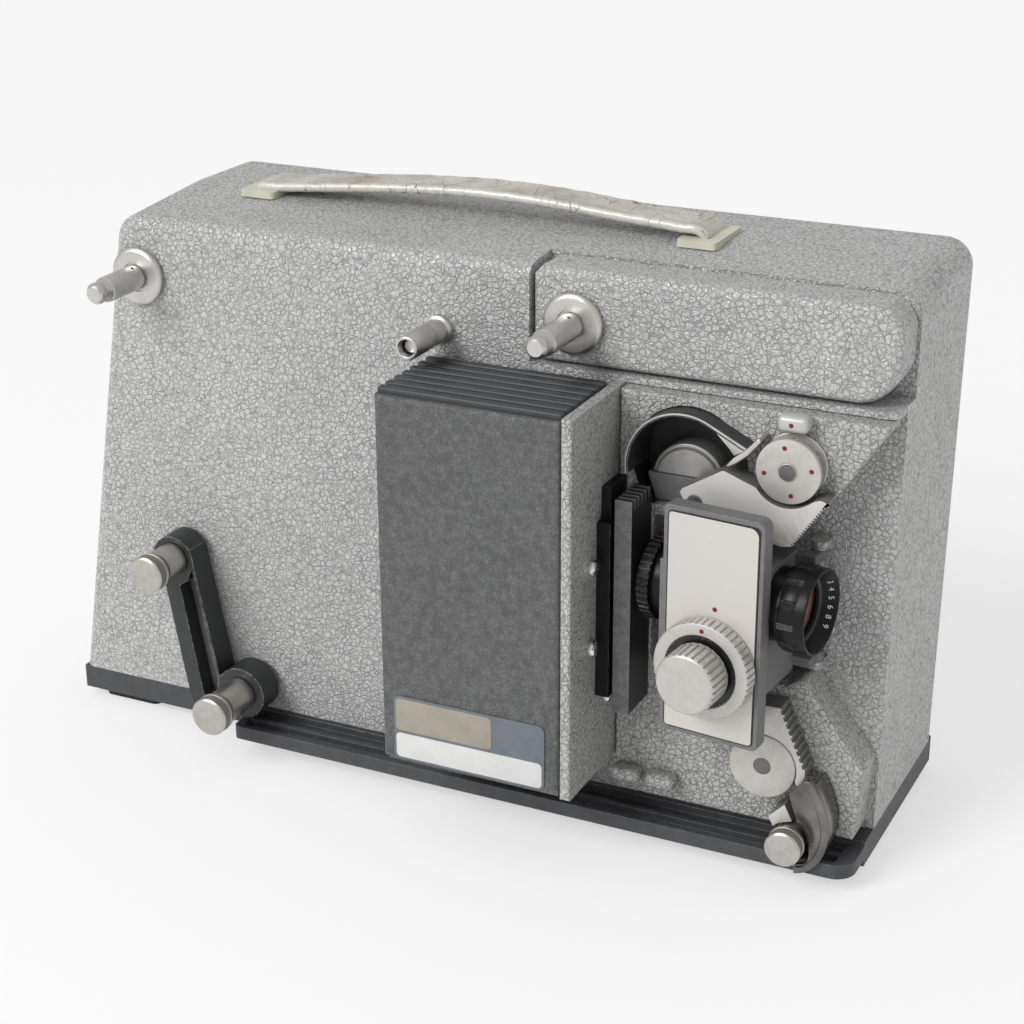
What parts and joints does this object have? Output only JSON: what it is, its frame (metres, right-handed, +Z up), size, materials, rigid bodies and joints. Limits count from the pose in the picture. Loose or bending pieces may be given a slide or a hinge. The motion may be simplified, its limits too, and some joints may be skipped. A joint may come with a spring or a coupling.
{
  "type": "movie projector",
  "caption": "Table-top cine film projector: leaning metal case, swing-up feed arm, hinged lamp house and lens door, film path with toothed sprockets, strap handle.",
  "frame": {"origin": "middle of the machine's footprint, at the table under its feet", "axes": "+X along the case towards the lens end, +Y away from the operator, +Z up"},
  "size_m": [0.4334, 0.1846, 0.2862],
  "materials": {
    "case_enamel": "satin",
    "deck_enamel": "satin",
    "lamp_enamel": "satin",
    "black_enamel": "satin",
    "grey_enamel": "satin",
    "plate_metal": "satin",
    "bare_steel": "satin",
    "knurled_steel": "satin",
    "screw_chrome": "polished",
    "light_metal": "satin",
    "light_parts": "satin",
    "black_plastic": "gloss",
    "switch_plastic": "gloss",
    "lens_black": "satin",
    "lens_glass": "clear",
    "condenser_glass": "clear",
    "lamp_glass": "clear",
    "reflector": "polished",
    "ceramic": "matte",
    "strap": "worn",
    "handle_plastic": "satin",
    "name_plate": "satin",
    "foot_rubber": "matte",
    "motor_iron": "matte",
    "coil_tape": "matte",
    "fan_metal": "satin",
    "gear_brass": "satin",
    "belt_rubber": "matte"
  },
  "bodies": {
    "chassis": {"base_plate": "black_enamel", "rubber_feet": "foot_rubber", "front_housing": "case_enamel", "rear_cover": "case_enamel", "handle_plates": "handle_plastic", "handle_strap": "strap", "storage_stub": "knurled_steel", "mechanism_deck": "deck_enamel", "film_loop_shroud": "bare_steel", "film_loop_drum": "bare_steel", "film_pin": "bare_steel", "index_tab": "light_parts", "exit_guide_arm": "black_plastic", "deck_film_blocks": "light_parts", "fixed_pivots": "bare_steel", "lamp_house_wall": "case_enamel", "lamp_socket": "ceramic", "lamp_reflector": "reflector", "lamp": "lamp_glass", "condenser_holder": "black_enamel", "condenser_lens": "condenser_glass", "gate_bracket": "black_enamel", "film_gate": "black_enamel", "screws": "screw_chrome", "cover_hinges": "bare_steel", "frame_plate": "bare_steel", "motor_frame": "motor_iron", "drive_belts": "belt_rubber", "transformer_core": "motor_iron", "transformer_coil": "coil_tape", "mains_inlet": "black_plastic", "switch_frame": "black_plastic"},
    "feed_arm": {"feed_arm": "case_enamel"},
    "feed_spindle": {"feed_spindle": "knurled_steel"},
    "takeup_spindle": {"takeup_spindle": "knurled_steel"},
    "upper_sprocket": {"upper_sprocket": "light_metal"},
    "lower_sprocket": {"lower_sprocket": "light_metal"},
    "upper_guide": {"upper_film_guide": "light_metal"},
    "lower_guide": {"lower_film_guide": "light_metal"},
    "exit_roller": {"exit_roller": "knurled_steel"},
    "tension_arm": {"tension_lever": "black_enamel"},
    "lower_roller": {"lower_roller": "knurled_steel"},
    "upper_roller": {"upper_roller": "knurled_steel"},
    "lamp_cover": {"lamp_cover": "lamp_enamel", "cooling_ribs": "black_enamel", "name_plate": "name_plate"},
    "lens_carrier": {"lens_carrier": "grey_enamel", "carrier_face_plate": "plate_metal"},
    "framing_ring": {"framing_ring": "knurled_steel"},
    "focus_knob": {"focus_knob": "knurled_steel"},
    "lens": {"lens_barrel": "lens_black", "rear_lens_ring": "lens_black", "lens_glass": "lens_glass"},
    "rotor": {"motor_rotor": "motor_iron", "cooling_fan": "fan_metal"},
    "shutter": {"shutter_shaft": "fan_metal", "shutter_disc": "fan_metal"},
    "cross_gear": {"cross_gear": "gear_brass"},
    "power_switch": {"power_switch": "switch_plastic"}
  },
  "joints": [
    {"name": "motor_spin", "type": "hinge", "parent": "chassis", "child": "rotor", "pos_m": [-0.08466, 0.04666, 0.1], "axis": [1, 0, 0], "continuous": true},
    {"name": "shutter_spin", "type": "hinge", "parent": "chassis", "child": "shutter", "pos_m": [0.08234, 0.00966, 0.1375], "axis": [1, 0, 0], "continuous": true},
    {"name": "cross_gear_spin", "type": "hinge", "parent": "chassis", "child": "cross_gear", "pos_m": [0.10734, 0.00966, 0.1175], "axis": [0, 1, 0], "continuous": true},
    {"name": "upper_sprocket_spin", "type": "hinge", "parent": "chassis", "child": "upper_sprocket", "pos_m": [0.17494, -0.02533, 0.1975], "axis": [0, 1, 0], "continuous": true},
    {"name": "lower_sprocket_spin", "type": "hinge", "parent": "chassis", "child": "lower_sprocket", "pos_m": [0.16964, -0.02533, 0.0566], "axis": [0, 1, 0], "continuous": true},
    {"name": "feed_arm_swing", "type": "hinge", "parent": "chassis", "child": "feed_arm", "pos_m": [0.19434, -0.01034, 0.245], "axis": [0, 1, 0], "range_deg": [0, 90]},
    {"name": "feed_spindle_spin", "type": "hinge", "parent": "feed_arm", "child": "feed_spindle", "pos_m": [0.06784, -0.02533, 0.2438], "axis": [0, 1, 0], "continuous": true},
    {"name": "takeup_spindle_spin", "type": "hinge", "parent": "chassis", "child": "takeup_spindle", "pos_m": [-0.16266, -0.02533, 0.2386], "axis": [0, 1, 0], "continuous": true},
    {"name": "upper_guide_pivot", "type": "hinge", "parent": "chassis", "child": "upper_guide", "pos_m": [0.13394, -0.03734, 0.1775], "axis": [0, 1, 0], "range_deg": [0, 5], "stiffness_Nm_per_rad": 0.3, "springref_deg": -28.65},
    {"name": "lower_guide_pivot", "type": "hinge", "parent": "chassis", "child": "lower_guide", "pos_m": [0.16964, -0.03934, 0.0566], "axis": [0, -1, 0], "range_deg": [0, 20], "stiffness_Nm_per_rad": 0.1, "springref_deg": -17.19},
    {"name": "lamp_cover_swing", "type": "hinge", "parent": "chassis", "child": "lamp_cover", "pos_m": [0.00134, -0.02893, 0.13], "axis": [0, 0, -1], "range_deg": [0, 85]},
    {"name": "lens_carrier_swing", "type": "hinge", "parent": "chassis", "child": "lens_carrier", "pos_m": [0.18334, -0.01934, 0.13], "axis": [0, 0, 1], "range_deg": [0, 50]},
    {"name": "framing_ring_turn", "type": "hinge", "parent": "lens_carrier", "child": "framing_ring", "pos_m": [0.15041, -0.07107, 0.1128], "axis": [0.1045, 0.9945, 0], "range_deg": [-30, 30]},
    {"name": "focus_knob_turn", "type": "hinge", "parent": "lens_carrier", "child": "focus_knob", "pos_m": [0.14957, -0.07903, 0.1128], "axis": [0.1045, 0.9945, 0], "range_deg": [-17.5, 17.5]},
    {"name": "lens_slide", "type": "slide", "parent": "lens_carrier", "child": "lens", "axis": [0.9945, -0.1045, 0], "range_m": [-0.0025, 0.0025]},
    {"name": "tension_arm_swing", "type": "hinge", "parent": "chassis", "child": "tension_arm", "pos_m": [-0.10716, -0.03533, 0.032], "axis": [0, 1, 0], "range_deg": [-20, 35], "stiffness_Nm_per_rad": 1.5, "springref_deg": 1.15},
    {"name": "lower_roller_spin", "type": "hinge", "parent": "chassis", "child": "lower_roller", "pos_m": [-0.10716, -0.05534, 0.032], "axis": [0, 1, 0], "continuous": true},
    {"name": "upper_roller_spin", "type": "hinge", "parent": "tension_arm", "child": "upper_roller", "pos_m": [-0.14266, -0.05534, 0.0995], "axis": [0, 1, 0], "continuous": true},
    {"name": "exit_roller_spin", "type": "hinge", "parent": "chassis", "child": "exit_roller", "pos_m": [0.18464, -0.04534, 0.024], "axis": [0, 1, 0], "continuous": true},
    {"name": "power_switch_rock", "type": "hinge", "parent": "chassis", "child": "power_switch", "pos_m": [-0.09766, 0.08617, 0.048], "axis": [1, 0, 0], "range_deg": [-8, 8]}
  ],
  "couplings": [
    {"joint": "shutter_spin", "follows": "motor_spin", "ratio": 0.72},
    {"joint": "cross_gear_spin", "follows": "motor_spin", "ratio": 0.06},
    {"joint": "upper_sprocket_spin", "follows": "motor_spin", "ratio": 0.06},
    {"joint": "lower_sprocket_spin", "follows": "motor_spin", "ratio": 0.06},
    {"joint": "focus_knob_turn", "follows": "lens_slide", "rad_per_m": 122.17}
  ]
}
